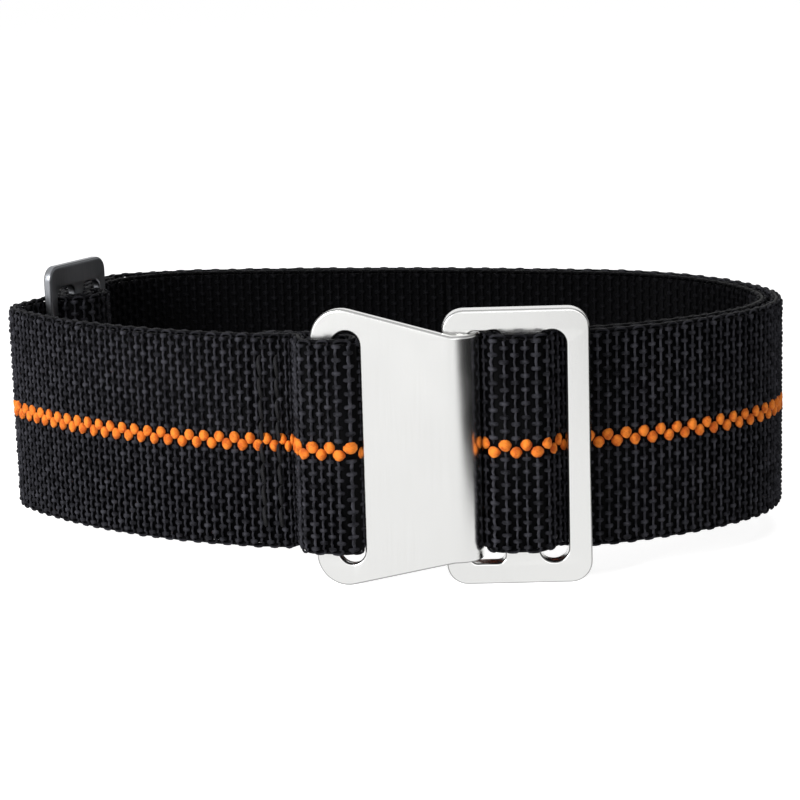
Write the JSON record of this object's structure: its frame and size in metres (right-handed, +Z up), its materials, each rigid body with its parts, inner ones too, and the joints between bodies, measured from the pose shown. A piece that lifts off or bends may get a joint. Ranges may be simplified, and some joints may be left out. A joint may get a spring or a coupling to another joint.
{
  "type": "elastic nylon watch strap",
  "caption": "Elastic woven nylon watch strap closed into a loop, with a sheet steel hook in a slotted frame, a sliding length adjuster and a coloured tracer line along the webbing.",
  "frame": {"origin": "on the table under the middle of the receiver frame's centre bar", "axes": "+X to the right along the front of the loop, +Y from the clasp towards the back of the loop, +Z up across the width of the webbing"},
  "size_m": [0.0754, 0.0505, 0.0257],
  "materials": {
    "webbing": "woven elastic nylon",
    "tracer": "woven tracer yarn",
    "thread": "bonded sewing thread",
    "clasp_metal": "satin blasted steel",
    "slider_metal": "dark plated steel"
  },
  "bodies": {
    "back_band": {"webbing_back_inner": "webbing", "webbing_back_outer": "webbing", "webbing_right_inner": "webbing", "webbing_right_outer": "webbing", "webbing_left_bend": "webbing", "tracer_back_inner": "tracer", "tracer_back_outer": "tracer", "tracer_right_inner": "tracer", "tracer_right_outer": "tracer", "tracer_left_bend_inner": "tracer", "tracer_left_bend_outer": "tracer"},
    "front_band": {"webbing_front_run": "webbing", "webbing_frame_fold": "webbing", "receiver_frame": "clasp_metal", "tracer_front_run_inner": "tracer", "tracer_front_run_outer": "tracer", "tracer_frame_fold": "tracer"},
    "hook_end": {"hook_plate": "clasp_metal", "webbing_hook_hem": "webbing", "stitching_hook_hem": "thread", "tracer_hook_hem": "tracer"},
    "slider": {"slider_buckle": "slider_metal", "webbing_slider_pass": "webbing", "webbing_slider_hem": "webbing", "stitching_slider_hem": "thread", "tracer_slider_pass": "tracer", "tracer_slider_hem": "tracer"}
  },
  "joints": [
    {"name": "band_stretch", "type": "slide", "parent": "back_band", "child": "front_band", "axis": [0, -1, 0], "range_m": [0, 0.012], "stiffness_N_per_m": 200, "deforming": ["webbing_right_inner", "webbing_right_outer", "webbing_left_bend", "tracer_right_inner", "tracer_right_outer", "tracer_left_bend_inner", "tracer_left_bend_outer"]},
    {"name": "hook_lift", "type": "hinge", "parent": "front_band", "child": "hook_end", "pos_m": [-0.0059, 0, 0.0126], "axis": [0, 0, 1], "range_deg": [0, 30], "stiffness_Nm_per_rad": 0.02, "deforming": ["webbing_front_run", "tracer_front_run_inner", "tracer_front_run_outer"]},
    {"name": "slider_travel", "type": "slide", "parent": "back_band", "child": "slider", "axis": [-0.4321, -0.9018, 0], "range_m": [-0.0022, 0.0022], "deforming": ["webbing_slider_pass", "webbing_slider_hem", "tracer_slider_pass", "tracer_slider_hem"]}
  ]
}
